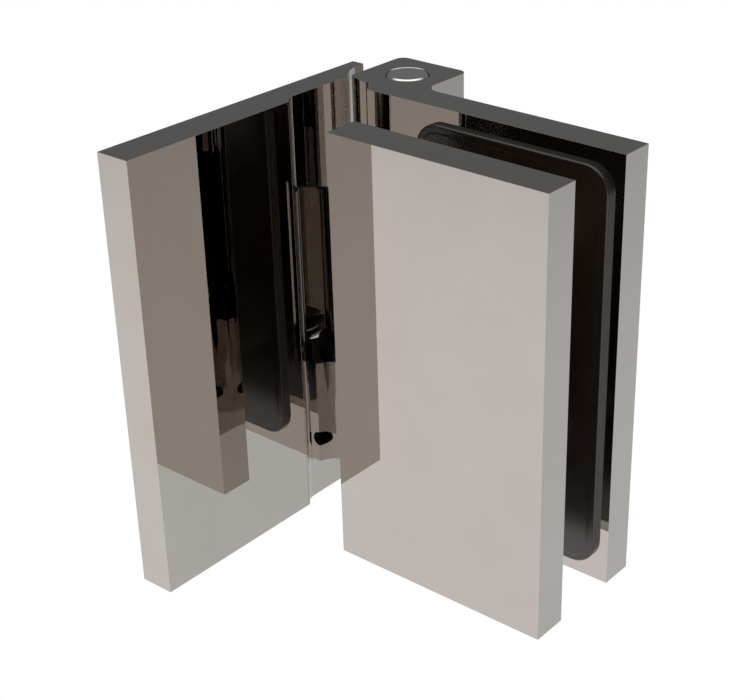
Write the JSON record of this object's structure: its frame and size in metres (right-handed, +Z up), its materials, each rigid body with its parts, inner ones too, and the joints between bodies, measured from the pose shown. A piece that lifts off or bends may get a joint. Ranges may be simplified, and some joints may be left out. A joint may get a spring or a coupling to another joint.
{
  "type": "shower door hinge",
  "caption": "Wall-to-glass shower door hinge with an offset swing pin, a covered wall plate and a clamp for a frameless glass door, closed at a right angle.",
  "frame": {"origin": "on the swing axis, at the hinge's mid-height", "axes": "+Z up along the swing pin; +X out from the wall along the closed glass; -Y towards the front clamp plate; the wall is the plane at the lowest X"},
  "size_m": [0.0741, 0.0759, 0.0902],
  "materials": {
    "polished_nickel": "mirror polished nickel",
    "gasket_rubber": "smooth dark brown-black rubber",
    "pad_foam": "matt",
    "steel_pin": "ground",
    "steel_cap": "turned, with a bright chamfer",
    "dark_steel": "black oxide",
    "stainless": "turned",
    "black_nylon": "moulded",
    "white_nylon": "turned"
  },
  "bodies": {
    "wall_leaf": {"wall_base": "polished_nickel", "wall_cover": "polished_nickel", "wall_pad": "pad_foam", "cover_set_screws": "dark_steel", "bush_spacer": "black_nylon", "upper_bush": "black_nylon", "lower_bush": "black_nylon"},
    "door_leaf": {"door_plate": "polished_nickel", "clamp_plate": "polished_nickel", "back_gasket": "gasket_rubber", "front_gasket": "gasket_rubber", "hinge_pin": "steel_pin", "pin_lock_screw": "dark_steel", "upper_clamp_screw": "stainless", "upper_screw_sleeve": "white_nylon", "upper_pin_cap": "steel_cap", "upper_thrust_washer": "stainless", "lower_clamp_screw": "stainless", "lower_screw_sleeve": "white_nylon", "lower_pin_cap": "steel_cap", "lower_thrust_washer": "stainless"}
  },
  "joints": [
    {"name": "door_swing", "type": "hinge", "parent": "wall_leaf", "child": "door_leaf", "pos_m": [0, 0, 0], "axis": [0, 0, 1], "range_deg": [0, 100]}
  ]
}
